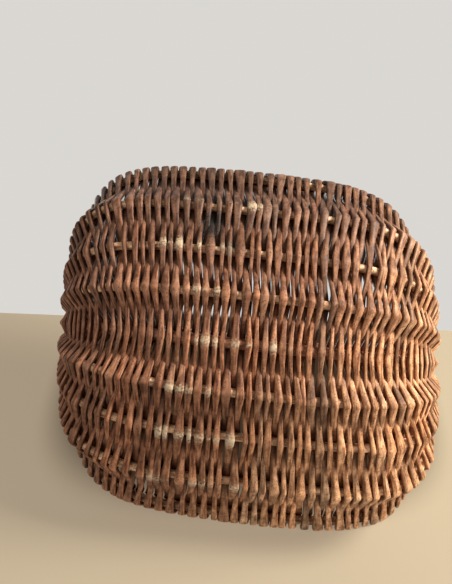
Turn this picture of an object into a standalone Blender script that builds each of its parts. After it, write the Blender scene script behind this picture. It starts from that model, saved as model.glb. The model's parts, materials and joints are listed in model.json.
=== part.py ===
"""Willow frame basket: two hoops crossed at the ears, six ribs, and rods woven rim to rim.

The handle hoop stands along X. Its lower half is the keel and its upper half is the handle.
The rim hoop lies level inside it. The ribs run from ear to ear between keel and rim, and the
rods run across them, over one and under the next, and turn back round the rim.
Units are metres, Z is up, and the basket stands at Z = 0 on its worn underside.
"""

import math

import bmesh
import bpy
import numpy as np
from mathutils import Matrix, Vector

# Driving dimensions of the two hoops, measured to the middle of the rod.
HALF_LENGTH = 0.234       # middle of the basket to an ear, along X
HALF_WIDTH = 0.2159       # middle of the basket to the side of the rim, along Y
EAR_RISE = 0.143          # keel to ears
SIDE_RISE = 0.110         # keel to the sides of the rim, which dip between the ears
HANDLE_RISE = 0.200       # ears to the top of the handle
SKEW = 0.07               # sideways lean of the hoops per metre of length

# How square each curve is: 2 is an ellipse, and a larger number has fuller corners.
KEEL_FULLNESS = 2.45
RIM_FULLNESS = 5.20
HANDLE_FULLNESS = 2.3

# Rods.
HOOP_RADIUS = 0.0055
RIM_RADIUS = 0.0052
RIB_RADIUS = 0.0035
RIB_TIP_RADIUS = 0.0014   # ribs are cut to a point where they enter the ears
RIB_GRIP = 0.024          # length of a rib that an ear lashing holds
RIB_TAPER = 0.085         # length over which a rib thins to its point

# The weave. Its rods fill the basket from ear to ear, each as thick as its place allows.
WOVEN_RODS = 37
PASSES_PER_ROD = 3        # times that one rod crosses the basket before the next takes over
EAR_FINENESS = 0.73       # spacing of the rods beside the ears, as a share of the middle's
FINE_REACH = 0.060        # length of keel over which the thin rods give way to full ones
RIM_SETBACK = 0.006       # how much farther from the ears the last rods lie on the rim
SETBACK_POWER = 3         # odd; the larger it is, the more of the setback is near the ears
ROD_GAP = 0.0005          # air between two rods side by side

# Ear lashings.
EAR_RADIUS = 0.048
EAR_SHAPE = 1.5           # 2 is round and 1 is a diamond
EAR_WRAP = 0.0030         # thickness of the lashing over the hoops
EAR_ROUNDING = 0.0075
EAR_CLEARANCE = 0.008     # edge of the lashing to the first rod

# Ribs of one side, from the keel outward: distance from the keel and height above it.
# The first is as much lower as it is thinner, so that its rods stand level with the keel's.
RIB_SPREADS = (0.0508, 0.0996, 0.1552)
RIB_RISES = (RIB_RADIUS - HOOP_RADIUS, 0.0180, 0.0460)

# Fits and wear.
SEAT = 0.0007             # air between a rod and the rib that it passes
SOCKET = 0.0003           # air between an ear lashing and what it holds
WORN_DEPTH = 0.0006       # what standing has worn off the lowest rods

# Facets.
HOOP_SEGMENTS = 26        # of half a hoop
RIB_SEGMENTS = 22
EAR_SEGMENTS = 24
HOOP_SIDES = 8
RIB_SIDES = 6
WEAVER_SIDES = 4
TURN_STEPS = 3            # parts of a half turn round the rim
SMOOTH_SEGMENTS = 240     # of the finer lines that give the rods their directions
EVENING_ROUNDS = 3        # times that each offset direction is averaged with its neighbours
OFFSET_ROUNDS = 6         # times that the offsets are worked out again from their own slopes
FITTING_ROUNDS = 3        # times that the rods' thickness and their offsets are fitted together
COUNT_SAMPLES = 400
WELD = 0.000001

# Colours of the willow. The woven rods go from brown at the left ear to tan at the right one.
HANDLE_COLOUR = (0.20, 0.075, 0.035)
RIM_COLOUR = (0.34, 0.19, 0.095)
RIB_COLOUR = (0.30, 0.16, 0.08)
EAR_COLOUR = (0.25, 0.12, 0.055)
LEFT_ROD_COLOUR = (0.17, 0.085, 0.045)
RIGHT_ROD_COLOUR = (0.36, 0.16, 0.065)
ROD_SHADES = (0.92, 1.06, 0.98, 1.10, 0.95)
BARE_ROUGHNESS = 0.62
HANDLED_ROUGHNESS = 0.50

RIM_INDEX = len(RIB_SPREADS) + 1
BAR_INDICES = range(-RIM_INDEX, RIM_INDEX + 1)
PASSES = WOVEN_RODS * PASSES_PER_ROD
RIM_HALF_LENGTH = HALF_LENGTH - HOOP_RADIUS - RIM_RADIUS - SOCKET
RIB_TIP_INSET = EAR_RADIUS - RIB_GRIP
EAR_MARGIN = EAR_RADIUS + EAR_CLEARANCE


def clear_scene():
    """Remove every object, and the data that they leave behind."""
    for item in list(bpy.data.objects):
        bpy.data.objects.remove(item, do_unlink=True)
    for group in (bpy.data.meshes, bpy.data.curves, bpy.data.materials):
        for block in list(group):
            group.remove(block)


def new_collection(name):
    """Return a new collection linked to the scene."""
    collection = bpy.data.collections.new(name)
    bpy.context.scene.collection.children.link(collection)
    return collection


def willow(name, colour, roughness=BARE_ROUGHNESS):
    """Return a bare willow material of one colour."""
    material = bpy.data.materials.new(name)
    material.use_nodes = True
    shader = material.node_tree.nodes["Principled BSDF"]
    shader.inputs["Base Color"].default_value = (*colour, 1.0)
    shader.inputs["Roughness"].default_value = roughness
    shader.inputs["Metallic"].default_value = 0.0
    return material


def signed_power(value, power):
    """Raise the size of a value to a power and keep its sign."""
    return np.sign(value) * np.abs(value) ** power


def full_arc(fullness, segments):
    """Return reach (-1 to 1) and depth (0 to 1 to 0) along a half superellipse."""
    angle = np.linspace(-math.pi / 2, math.pi / 2, segments + 1)
    reach = signed_power(np.sin(angle), 2 / fullness)
    depth = np.maximum(np.cos(angle), 0.0) ** (2 / fullness)
    depth[0] = depth[-1] = 0.0
    return reach, depth


def arc_lengths(points):
    """Return the distance along a line at each of its points."""
    steps = np.linalg.norm(np.diff(points, axis=0), axis=1)
    return np.concatenate([[0.0], np.cumsum(steps)])


def point_at(points, distance):
    """Return the point at a distance along a line."""
    lengths = arc_lengths(points)
    return np.stack([np.interp(distance, lengths, points[:, axis]) for axis in range(3)], axis=-1)


def bar_line(index, segments=None):
    """Return the centre line of a bar from ear to ear: 0 is the keel, the ends are the rim.

    Heights are taken from the middle of the keel.
    """
    share = abs(index) / RIM_INDEX
    fullness = KEEL_FULLNESS + (RIM_FULLNESS - KEEL_FULLNESS) * share
    half_length = HALF_LENGTH + (RIM_HALF_LENGTH - HALF_LENGTH) * share
    if segments is None:
        segments = RIB_SEGMENTS if 0 < abs(index) < RIM_INDEX else HOOP_SEGMENTS
    reach, depth = full_arc(fullness, segments)
    spread = ((0.0,) + RIB_SPREADS + (HALF_WIDTH,))[abs(index)]
    rise = ((0.0,) + RIB_RISES + (SIDE_RISE,))[abs(index)]
    x = half_length * reach
    y = math.copysign(spread, index) * depth + SKEW * x
    if abs(index) == RIM_INDEX:
        z = SIDE_RISE + (EAR_RISE - SIDE_RISE) * reach ** 2
    else:
        z = EAR_RISE - (EAR_RISE - rise) * depth
    return np.stack([x, y, z], axis=1)


def handle_line():
    """Return the upper half of the handle hoop, from the right ear to the left."""
    reach, depth = full_arc(HANDLE_FULLNESS, HOOP_SEGMENTS)
    x = -HALF_LENGTH * reach
    return np.stack([x, SKEW * x, EAR_RISE + HANDLE_RISE * depth], axis=1)


def trimmed_rib(index):
    """Return a rib's centre line between its two points, and its radius along it."""
    line = bar_line(index)
    lengths = arc_lengths(line)
    first = RIB_TIP_INSET
    last = lengths[-1] - RIB_TIP_INSET
    inner = lengths[(lengths > first) & (lengths < last)]
    ends = [first, first + RIB_TAPER, last - RIB_TAPER, last]
    distances = np.unique(np.concatenate([ends, inner]))
    from_tip = np.minimum(distances - first, last - distances)
    share = np.clip(from_tip / RIB_TAPER, 0.0, 1.0)
    radii = RIB_TIP_RADIUS + (RIB_RADIUS - RIB_TIP_RADIUS) * share
    return point_at(line, distances), radii


def bar_radius(index, from_ear):
    """Return the radius of a bar at a distance from its nearer ear."""
    if index == 0:
        return np.full_like(from_ear, HOOP_RADIUS)
    if abs(index) == RIM_INDEX:
        return np.full_like(from_ear, RIM_RADIUS)
    share = np.clip((from_ear - RIB_TIP_INSET) / RIB_TAPER, 0.0, 1.0)
    return RIB_TIP_RADIUS + (RIB_RADIUS - RIB_TIP_RADIUS) * share


def weave_stations():
    """Return each pass's place between the ears, from -1 at the left one to 1."""
    half_weave = arc_lengths(bar_line(0))[-1] / 2 - EAR_MARGIN
    place = np.linspace(-1, 1, COUNT_SAMPLES)
    share = np.clip((1 - np.abs(place)) * half_weave / FINE_REACH, 0, 1)
    spacing = EAR_FINENESS + (1 - EAR_FINENESS) * share
    counts = np.concatenate([[0.0], np.cumsum(np.diff(place) * 2 / (spacing[1:] + spacing[:-1]))])
    wanted = np.linspace(0, counts[-1], PASSES)
    return np.interp(wanted, counts, place)


def bar_places(index, stations, segments=None):
    """Return the points where the passes cross a bar, and the bar's radius there."""
    line = bar_line(index, segments)
    half = arc_lengths(line)[-1] / 2
    from_middle = stations * (half - EAR_MARGIN)
    if abs(index) == RIM_INDEX:
        from_middle -= RIM_SETBACK * stations ** SETBACK_POWER
    return point_at(line, half + from_middle), bar_radius(index, half - np.abs(from_middle))


def unit(vectors):
    """Scale vectors to length 1."""
    return vectors / np.linalg.norm(vectors, axis=-1, keepdims=True)


class Weave:
    """Places of every pass on every bar, with the directions and offsets that the rods need."""

    def __init__(self):
        stations = weave_stations()
        crossings = [bar_places(index, stations) for index in BAR_INDICES]
        self.points = np.stack([points for points, _ in crossings], axis=1)
        self.bar_radii = np.stack([radii for _, radii in crossings], axis=1)
        smooth = np.stack([bar_places(index, stations, SMOOTH_SEGMENTS)[0]
                           for index in BAR_INDICES], axis=1)
        along = unit(np.gradient(smooth, axis=0))
        across = unit(np.gradient(smooth, axis=1))
        outward = unit(np.cross(across, along))
        heart = np.array([0, 0, EAR_RISE])
        inward = np.einsum("pbi,pbi->pb", outward, heart - self.points) > 0
        outward[inward] *= -1
        for _ in range(EVENING_ROUNDS):
            outward[:, 1:-1] += (outward[:, 2:] + outward[:, :-2]) / 2
            outward = unit(outward)
        self.outward = outward
        self.across = unit(np.cross(along, outward))
        flipped = np.einsum("pbi,pbi->pb", self.across, across) < 0
        self.across[flipped] *= -1
        numbers = np.arange(PASSES)[:, None] + np.array(BAR_INDICES)
        self.sides = np.where(numbers % 2 == 0, 1, -1)
        self.rod_radii = np.zeros_like(self.bar_radii)
        self.offsets = self.find_offsets()
        for _ in range(FITTING_ROUNDS):
            self.rod_radii = self.find_rod_radii()
            self.offsets = self.find_offsets()

    def crossings(self):
        """Return the middle of every pass at every bar, outside the bar or inside it."""
        return self.points + (self.sides * self.offsets)[:, :, None] * self.outward

    def find_rod_radii(self):
        """Return each rod's radius at each bar, which leaves the gap to the nearest neighbour.

        Two neighbours are nearest where they pass each other between two bars.
        """
        lines = self.crossings()
        spans = np.diff(lines, axis=1)
        apart = unit(np.cross(spans[1:], spans[:-1]))
        steps = np.diff(lines, axis=0)[:, :-1]
        width = np.abs(np.einsum("pbi,pbi->pb", steps, apart))
        width = np.minimum(np.vstack([width, width[-1:]]), np.vstack([width[:1], width]))
        at_bars = np.minimum(np.hstack([width, width[:, -1:]]), np.hstack([width[:, :1], width]))
        return (at_bars - ROD_GAP) / 2

    def keel_height(self):
        """Return the height of the keel's middle over the floor, on the worn rods below it."""
        middle = self.rod_radii[PASSES // 2, RIM_INDEX]
        return HOOP_RADIUS + SEAT + 2 * middle - WORN_DEPTH

    def find_offsets(self):
        """Return how far each rod's line must stand off each bar's line to clear it."""
        spans = np.linalg.norm(np.diff(self.points, axis=1), axis=2)
        reach = self.bar_radii + self.rod_radii + SEAT
        offsets = reach.copy()
        for _ in range(OFFSET_ROUNDS):
            slope = (offsets[:, 1:] + offsets[:, :-1]) / spans
            stretch = np.sqrt(1 + slope ** 2)
            steepest = np.ones_like(offsets)
            steepest[:, 1:] = np.maximum(steepest[:, 1:], stretch)
            steepest[:, :-1] = np.maximum(steepest[:, :-1], stretch)
            offsets = reach * steepest
        turn_reach = reach / math.cos(math.pi / (2 * TURN_STEPS))
        for side in (0, -1):
            offsets[:, side] = np.maximum(offsets[:, side], turn_reach[:, side])
        return offsets

    def turn(self, number, index):
        """Return the points of the half turn round the rim to the next pass, with their radii."""
        column = index + RIM_INDEX
        start = self.sides[number, column]
        rimward = math.copysign(1, index)
        made = []
        for step in range(1, TURN_STEPS):
            share = step / TURN_STEPS
            angle = math.pi * share
            middle, offset, outward, across, radius = [
                self.blend(field, number, column, share)
                for field in (self.points, self.offsets, self.outward, self.across, self.rod_radii)]
            swing = start * math.cos(angle) * outward + rimward * math.sin(angle) * across
            made.append((middle + offset * swing, radius))
        return made

    @staticmethod
    def blend(field, number, column, share):
        """Mix a value between a pass and the one after it."""
        return (1 - share) * field[number, column] + share * field[number + 1, column]


def woven_path(weave):
    """Return the whole woven line as (point, radius, joinable), a bar at a time."""
    path = []
    crossings = weave.crossings()
    last = PASSES - 1
    for number in range(PASSES):
        order = list(BAR_INDICES) if number % 2 == 0 else list(reversed(BAR_INDICES))
        if number == 0:
            order = order[1:]
        if number == last and weave.sides[number, order[-1] + RIM_INDEX] > 0:
            order = order[:-1]
        for index in order:
            column = index + RIM_INDEX
            joinable = weave.sides[number, column] < 0 and abs(index) < RIM_INDEX
            path.append((crossings[number, column], weave.rod_radii[number, column], joinable))
        if number < last:
            for point, radius in weave.turn(number, order[-1]):
                path.append((point, radius, False))
    return path


def cut_into_rods(path):
    """Divide the woven line into rods that meet end to end on the inside of a bar."""
    joinable = [place for place, item in enumerate(path) if item[2]]
    joins = []
    for number in range(1, WOVEN_RODS):
        target = number * len(path) / WOVEN_RODS
        joins.append(min(joinable, key=lambda place: abs(place - target)))
    bounds = [0] + joins + [len(path) - 1]
    pieces = []
    for first, last in zip(bounds[:-1], bounds[1:]):
        points = [np.array(item[0]) for item in path[first:last + 1]]
        radii = [item[1] for item in path[first:last + 1]]
        if first > 0:
            points[0] += unit(points[1] - points[0]) * join_setback(path, first)
        if last < len(path) - 1:
            points[-1] += unit(points[-2] - points[-1]) * join_setback(path, last)
        pieces.append((points, radii))
    return pieces


def join_setback(path, place):
    """Return how far each of two rods stops short of the bend where they meet."""
    before = unit(path[place][0] - path[place - 1][0])
    after = unit(path[place + 1][0] - path[place][0])
    bend = math.acos(min(1.0, float(np.dot(before, after))))
    return path[place][1] * math.tan(bend / 2) + ROD_GAP / 2


def tube(name, points, radii, sides, collection, cyclic=False):
    """Return a curve object: a round rod along points, with its origin at their middle.

    Its bevel depth is 1, so that each point's radius is the rod's radius there.
    """
    middle = np.mean(points, axis=0)
    data = bpy.data.curves.new(name, "CURVE")
    data.dimensions = "3D"
    data.bevel_depth = 1
    data.bevel_resolution = (sides - 4) // 2
    data.use_fill_caps = True
    spline = data.splines.new("POLY")
    spline.points.add(len(points) - 1)
    for target, point, radius in zip(spline.points, points, radii):
        target.co = (*(np.array(point) - middle), 1.0)
        target.radius = radius
    spline.use_cyclic_u = cyclic
    spline.use_smooth = True
    item = bpy.data.objects.new(name, data)
    item.location = middle
    collection.objects.link(item)
    return item


def as_mesh(item):
    """Replace a curve object by its mesh, with the caps welded on."""
    bpy.context.view_layer.update()
    name = item.name
    graph = bpy.context.evaluated_depsgraph_get()
    data = bpy.data.meshes.new_from_object(item.evaluated_get(graph))
    shape = bmesh.new()
    shape.from_mesh(data)
    bmesh.ops.remove_doubles(shape, verts=shape.verts, dist=WELD)
    shape.to_mesh(data)
    shape.free()
    data.shade_smooth()
    result = bpy.data.objects.new(name, data)
    result.matrix_world = item.matrix_world.copy()
    for collection in item.users_collection:
        collection.objects.link(result)
    bpy.data.objects.remove(item, do_unlink=True)
    result.name = name
    return result


def hide_cutter(item):
    """Mark an object as a cutter."""
    item.hide_render = True
    item.display_type = "WIRE"


def subtract(item, cutter):
    """Cut one object by another with a Boolean."""
    modifier = item.modifiers.new("cut_" + cutter.name, "BOOLEAN")
    modifier.operation = "DIFFERENCE"
    modifier.solver = "EXACT"
    modifier.object = cutter


def handle_hoop(parts, cutters):
    """Build the hoop that is both keel and handle, and its cutter."""
    line = np.concatenate([bar_line(0), handle_line()[1:-1]])
    radii = [HOOP_RADIUS] * len(line)
    hoop = tube("handle_hoop", line, radii, HOOP_SIDES, parts, cyclic=True)
    wide = [HOOP_RADIUS + SOCKET] * len(line)
    return hoop, as_mesh(tube("handle_bore", line, wide, HOOP_SIDES, cutters, cyclic=True))


def rim_hoop(parts, cutters):
    """Build the level hoop, and its cutter."""
    line = np.concatenate([bar_line(-RIM_INDEX), bar_line(RIM_INDEX)[::-1][1:-1]])
    radii = [RIM_RADIUS] * len(line)
    hoop = tube("rim_hoop", line, radii, HOOP_SIDES, parts, cyclic=True)
    wide = [RIM_RADIUS + SOCKET] * len(line)
    return hoop, as_mesh(tube("rim_bore", line, wide, HOOP_SIDES, cutters, cyclic=True))


def lengthened(line, extra):
    """Return a line with both ends moved outward by a length."""
    longer = np.array(line)
    longer[0] += unit(line[0] - line[1]) * extra
    longer[-1] += unit(line[-1] - line[-2]) * extra
    return longer


def ribs(parts, cutters):
    """Build the six ribs, and the cutters for their sockets."""
    rods = []
    bores = []
    for index in BAR_INDICES:
        if index == 0 or abs(index) == RIM_INDEX:
            continue
        side = "front" if index < 0 else "back"
        name = f"rib_{side}_{abs(index)}"
        line, radii = trimmed_rib(index)
        rods.append(tube(name, line, radii, RIB_SIDES, parts))
        wide = list(np.array(radii) + SOCKET)
        bore = tube(name + "_socket", lengthened(line, SOCKET), wide, RIB_SIDES, cutters)
        bores.append(as_mesh(bore))
    return rods, bores


def ear_lashing(name, side, parts, bores):
    """Build the boss of wound rod that binds the hoops and holds the ribs at one ear."""
    outer = HALF_LENGTH + HOOP_RADIUS + EAR_WRAP
    inner = RIM_HALF_LENGTH - RIM_RADIUS - EAR_WRAP
    shape = bmesh.new()
    turned = Matrix.Rotation(math.pi / 2, 4, "Y")
    bmesh.ops.create_cone(shape, cap_ends=True, segments=EAR_SEGMENTS, radius1=EAR_RADIUS,
                          radius2=EAR_RADIUS, depth=outer - inner, matrix=turned)
    for corner in shape.verts:
        across = abs(corner.co.y) / EAR_RADIUS
        upward = abs(corner.co.z) / EAR_RADIUS
        share = (across ** EAR_SHAPE + upward ** EAR_SHAPE) ** (1 / EAR_SHAPE)
        corner.co.y /= share
        corner.co.z /= share
    data = bpy.data.meshes.new(name)
    shape.to_mesh(data)
    shape.free()
    item = bpy.data.objects.new(name, data)
    middle = side * (outer + inner) / 2
    item.location = (middle, SKEW * middle, EAR_RISE)
    parts.objects.link(item)
    rounding = item.modifiers.new("rounding", "BEVEL")
    rounding.width = EAR_ROUNDING
    rounding.segments = 2
    rounding.limit_method = "ANGLE"
    for bore in bores:
        subtract(item, bore)
    return item


def floor_block(cutters):
    """Build the block that stands for the floor and wears the underside flat."""
    side = 2 * HALF_WIDTH
    shape = bmesh.new()
    bmesh.ops.create_cube(shape, size=side)
    data = bpy.data.meshes.new("floor_wear")
    shape.to_mesh(data)
    shape.free()
    item = bpy.data.objects.new("floor_wear", data)
    item.location = (0, 0, -side / 2)
    cutters.objects.link(item)
    return item


def weavers(weave, parts, floor):
    """Build the woven rods, and wear flat the ones that the basket stands on."""
    rods = []
    floor_level = -weave.keel_height()
    for number, (points, radii) in enumerate(cut_into_rods(woven_path(weave)), start=1):
        rod = as_mesh(tube(f"weaver_{number:02d}", points, radii, WEAVER_SIDES, parts))
        heights = [(rod.matrix_world @ corner.co).z for corner in rod.data.vertices]
        if min(heights) < floor_level:
            subtract(rod, floor)
        rods.append(rod)
    return rods


def weaver_colour(number, count):
    """Return a rod's colour: brown at the left, redder in the middle, tan at the right."""
    share = number / max(1, count - 1)
    shade = ROD_SHADES[number % len(ROD_SHADES)]
    return tuple(Vector(LEFT_ROD_COLOUR).lerp(Vector(RIGHT_ROD_COLOUR), share) * shade)


def main():
    """Build the basket round the middle of its keel, and lift it onto the floor."""
    clear_scene()
    parts = new_collection("frame_basket")
    cutters = new_collection("cutters")
    basket = bpy.data.objects.new("basket", None)
    parts.objects.link(basket)
    weave = Weave()
    basket.location = (0, 0, weave.keel_height())

    hoop, hoop_bore = handle_hoop(parts, cutters)
    rim, rim_bore = rim_hoop(parts, cutters)
    rib_rods, rib_bores = ribs(parts, cutters)
    bores = [hoop_bore, rim_bore, *rib_bores]
    ears = [ear_lashing("ear_lashing_left", -1, parts, bores),
            ear_lashing("ear_lashing_right", 1, parts, bores)]
    floor = floor_block(cutters)
    rods = weavers(weave, parts, floor)

    hoop.data.materials.append(willow("handle_willow", HANDLE_COLOUR, HANDLED_ROUGHNESS))
    rim.data.materials.append(willow("rim_willow", RIM_COLOUR))
    for rib in rib_rods:
        rib.data.materials.append(willow(rib.name + "_willow", RIB_COLOUR))
    for ear in ears:
        ear.data.materials.append(willow(ear.name + "_willow", EAR_COLOUR))
    for number, rod in enumerate(rods):
        rod.data.materials.append(willow(rod.name + "_willow", weaver_colour(number, len(rods))))

    for cutter in [*bores, floor]:
        hide_cutter(cutter)
    for item in [hoop, rim, *rib_rods, *ears, *rods, *bores]:
        item.parent = basket
    print("The rods cross the basket", PASSES, "times in", len(rods), "lengths.")


main()
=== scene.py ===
"""Looks of an old willow frame basket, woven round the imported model.

The model stands upright on Z = 0. The photograph shows the basket tipped on its side with its
underside to the camera, so the camera looks up at it from below and a second floor stands
beside it. Lengths are metres and colours are linear.
"""

import json
import math

import bpy
import numpy as np
from mathutils import Euler, Matrix, Vector


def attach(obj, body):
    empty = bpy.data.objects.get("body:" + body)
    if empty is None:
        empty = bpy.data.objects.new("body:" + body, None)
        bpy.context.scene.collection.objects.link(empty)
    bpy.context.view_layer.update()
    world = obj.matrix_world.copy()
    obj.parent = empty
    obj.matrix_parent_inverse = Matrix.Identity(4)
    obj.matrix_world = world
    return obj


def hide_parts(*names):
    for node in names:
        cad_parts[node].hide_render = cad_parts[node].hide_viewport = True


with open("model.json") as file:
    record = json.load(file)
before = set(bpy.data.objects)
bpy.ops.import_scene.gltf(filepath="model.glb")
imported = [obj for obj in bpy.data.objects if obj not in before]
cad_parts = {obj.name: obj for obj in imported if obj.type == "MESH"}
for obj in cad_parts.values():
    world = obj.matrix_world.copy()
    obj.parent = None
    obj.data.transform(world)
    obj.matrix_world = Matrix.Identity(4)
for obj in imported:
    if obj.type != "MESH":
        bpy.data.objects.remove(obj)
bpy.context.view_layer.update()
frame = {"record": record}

# Hoops and ribs, as in the model.
HALF_LENGTH = 0.234
HALF_WIDTH = 0.2159
EAR_RISE = 0.143
SIDE_RISE = 0.110
HANDLE_RISE = 0.200
SKEW = 0.07
KEEL_FULLNESS = 2.45
RIM_FULLNESS = 5.20
HANDLE_FULLNESS = 2.3
HOOP_RADIUS = 0.0055
RIM_RADIUS = 0.0052
RIB_RADIUS = 0.0035
RIB_TIP_RADIUS = 0.0014
RIB_GRIP = 0.024
RIB_TAPER = 0.085
EAR_RADIUS = 0.048
EAR_CLEARANCE = 0.008
RIB_SPREADS = (0.0508, 0.0996, 0.1552)
RIB_RISES = (RIB_RADIUS - HOOP_RADIUS, 0.0180, 0.0460)

# The weave, as in the model.
WOVEN_RODS = 37
PASSES_PER_ROD = 3
EAR_FINENESS = 0.73
FINE_REACH = 0.060
RIM_SETBACK = 0.006
SETBACK_POWER = 3
ROD_GAP = 0.0005
SEAT = 0.0007
SOCKET = 0.0003
WORN_DEPTH = 0.0006
TURN_STEPS = 3
SMOOTH_SEGMENTS = 240
EVENING_ROUNDS = 3
OFFSET_ROUNDS = 6
FITTING_ROUNDS = 3
COUNT_SAMPLES = 400

# Bars are numbered across the basket: 0 is the keel, 1 to 3 are the ribs behind it, -1 to -3 those
# in front of it, and 4 and -4 are the rim's two sides.
RIM_INDEX = len(RIB_SPREADS) + 1
BAR_INDICES = range(-RIM_INDEX, RIM_INDEX + 1)
RIM_COLUMNS = [0, -1]
PASSES = WOVEN_RODS * PASSES_PER_ROD
RIM_HALF_LENGTH = HALF_LENGTH - HOOP_RADIUS - RIM_RADIUS - SOCKET
RIB_TIP_INSET = EAR_RADIUS - RIB_GRIP
EAR_MARGIN = EAR_RADIUS + EAR_CLEARANCE

# Half the width of a woven rod, over the spacing of the passes.
OUTER_FILL = 0.76              # outside a bar
RIM_FILL = 0.86                # round the rim
INNER_FILL = (0.88, 1.14)      # inside a bar, mid-basket and toward the ears: beaten flat
INNER_REACH = 0.09             # distance from the middle at which the second number holds
MIDWAY_FILL = 0.45             # midway between two bars, where the rods squeeze past
INNER_NARROWING = 1.6          # power by which a rod narrows from a bar's inside to there
OUTER_NARROWING = 1.35         # the same from a bar's outside
SPARSE_FILL = 0.36             # midway beside the first rib in front, where light shows through
SPARSE_PLACE = -0.052          # that rib's place along Y
SPARSE_REACH = 0.035           # how far from it the weave is sparse

# Section and bends of the rods.
ROD_SIDES = 12
BLUNTNESS = 1.6                # how flat the woven rods' tops are: 1 is an oval
THICKNESS = 0.50               # half the thickness of a woven rod, over the spacing
RIM_FLATNESS = 0.86            # how much of that is left round the rim
PRESSED = 0.0003               # how much closer than in the model a rod lies on its bar
CORNER = 0.0018                # length over which a rod bends at a bar, each way
CORNER_ROUNDS = 3              # rounds that bring the rounded corner back to the bar
CORNER_SHARES = (0.0, 0.25, 0.5, 0.75, 1.0)  # places of its points, from its start to its end
TIGHT_SHARES = (0.0, 0.5)      # the same where two corners lie closer than a corner is long
STRAIGHT_SHARES = (0.33, 0.67)  # places of the points between two corners
TAIL = 0.014                   # length of a rod's cut end inside the basket
TAIL_SHIFT = 0.33              # how far it lies to the side, over the spacing of the passes
TAIL_LIFT = 0.25               # how far it stands off the weave, over its length
TIP_WIDTH = 0.8                # how much of its width is left at the very end
TIP_HEIGHT = 0.6               # the same for its thickness
RIB_SWELL = 1.34               # how much thicker than in the model the ribs look
KEEL_SWELL = 1.12              # the same for the keel
BAR_SIDES = 12
BAR_STEP = 0.006               # distance between two rings of a hoop or a rib

# How much the rods differ. A pair that isn't a pair of limits or tapers holds a number of points or
# passes per bump, and a spread.
UNEVEN = 0.22                 # spread of the woven rods' widths, as a share
UNEVEN_BY_BAR = 0.19           # spread of one rod's width from bar to bar
UNEVEN_LIMITS = (0.62, 1.30)   # the narrowest and the widest rod, over the middling one
RIM_UNEVEN = 0.55              # how much of the unevenness is left round the rim
INNER_UNEVEN = 0.3             # how much of it is left inside the basket
DEPTH_UNEVEN = 0.25            # how much of it shows in the rods' thickness
DRIFT_PASSES = 9               # number of passes over which it cancels out
WANDER = (5, 0.45)             # how far rods stray together along a bar, in passes
WANDER_POWER = 4               # how suddenly the ears stop that
TAPERS = ((1.06, 0.92), (0.94, 1.05))  # width at a rod's two ends, butt first or tip first
BURL_BY_ROD = 0.03             # spread of whole rods' widths
BURL = (14, 0.05)              # how a rod's width varies along it
HEIGHT_BURL = (6, 0.03)        # the same for its thickness
SHADE_BY_ROD = 0.12            # spread of whole rods' brightness
SHADE = (9, 0.13)              # how it varies along a rod
SHADE_LIMITS = (0.5, 1.5)
REDNESS_BY_ROD = 0.03
REDNESS = (20, 0.025)
BAR_BURL = (5, 0.02)           # how a hoop's or a rib's radius varies along it
BAR_SHADE = (8, 0.10)
BAR_SHADE_LIMITS = (0.6, 1.4)
LASHING_BURL = (12, 0.04)
LASHING_SHADE = (10, 0.14)
LASHING_SHADE_LIMITS = (0.6, 1.5)

# Willow colours.
BROWN = (0.365, 0.156, 0.080)
CHESTNUT = (0.385, 0.159, 0.074)
TAN = (0.700, 0.355, 0.168)
CREAM = (0.640, 0.480, 0.310)
SOOT = (0.012, 0.009, 0.007)
RIB_TAN = (0.980, 0.570, 0.310)
KEEL_RED = (0.560, 0.245, 0.130)
HANDLE_RED = (0.400, 0.165, 0.085)
CHESTNUT_END = 0.55            # how far from left to right brown has turned into chestnut
TAN_START = 0.50               # where chestnut starts to turn into tan
TAN_LENGTH = 0.45              # how far on it has turned
WEATHERED_AND_LIT_BACK = 0.32             # how much farther than the middle the back has turned: partly weathered willow, partly painted light
FRONT_DARKENING = (0.48, 0.43, 0.38)   # how much red, green and blue is taken away toward the front: the front is darker
BURIED_SHADE_DEPTH = (0.66, 0.77, 0.83)    # how much red, green and blue the painted shade takes away where the weave buries a rod
BURIED_SHADE_RANGE = (0.02, 0.46)      # from buried in the weave (-1) to open to the air (1), over which the painted shade fades
RISE_FROM_WEAVE = 1.4          # how soon beside a bar a rod comes out into the open
UNSHADED_REACH = 0.74             # how far past midway between two bars a rod still has no painted shade

# Where the bark is rubbed off, for every bar: the span along X and how strongly.
WORN_PLACES = {-4: (0.0, 0.0, 0.0), -3: (-0.11, 0.02, 0.60), -2: (-0.12, 0.00, 0.75),
               -1: (-0.09, -0.02, 0.55), 0: (-0.07, 0.06, 0.75), 1: (-0.12, -0.03, 0.65),
               2: (-0.11, 0.01, 1.0), 3: (-0.13, 0.01, 0.60), 4: (0.0, 0.0, 0.0)}
WEAR_FADE = 0.015              # length over which it fades at a span's ends
WEAR_SPREAD = (0.35, 1.15)     # the weakest and the strongest, over the strength given there
WORN_LENGTH = 0.14            # half the length of a worn spot, over the distance between two bars
# Soot stains on the underside: place as X and Y, size and strength.
STAINS = ((-0.066, -0.183, 0.018, 1.7), (-0.050, -0.176, 0.012, 1.4),
          (-0.045, -0.133, 0.017, 1.5), (-0.022, -0.108, 0.013, 1.0),
          (0.119, 0.146, 0.004, 1.6))

# Patterns in the willow: along the grain or in place, with scale, detail and stretch, and the
# ramp's two stops, each a place and a brightness.
PATTERNS = {"streaks": ("grain", (560.0, 4.0, (0.09, 1.0, 1.0)), ((0.36, 0.34), (0.62, 1.38))),
            "blotches": ("place", (110.0, 5.0, (1.0, 1.0, 1.0)), ((0.34, 0.60), (0.64, 1.22))),
            "specks": ("grain", (1150.0, 2.0, (0.5, 1.0, 1.0)), ((0.33, 0.40), (0.45, 1.02)))}
GRAIN_RADIUS = 0.0024          # radius on which the grain's pattern is laid, on every rod
FADING = (0.82, 1.0, 1.14)     # powers by which dark streaks turn redder and pale ones greyer
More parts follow.
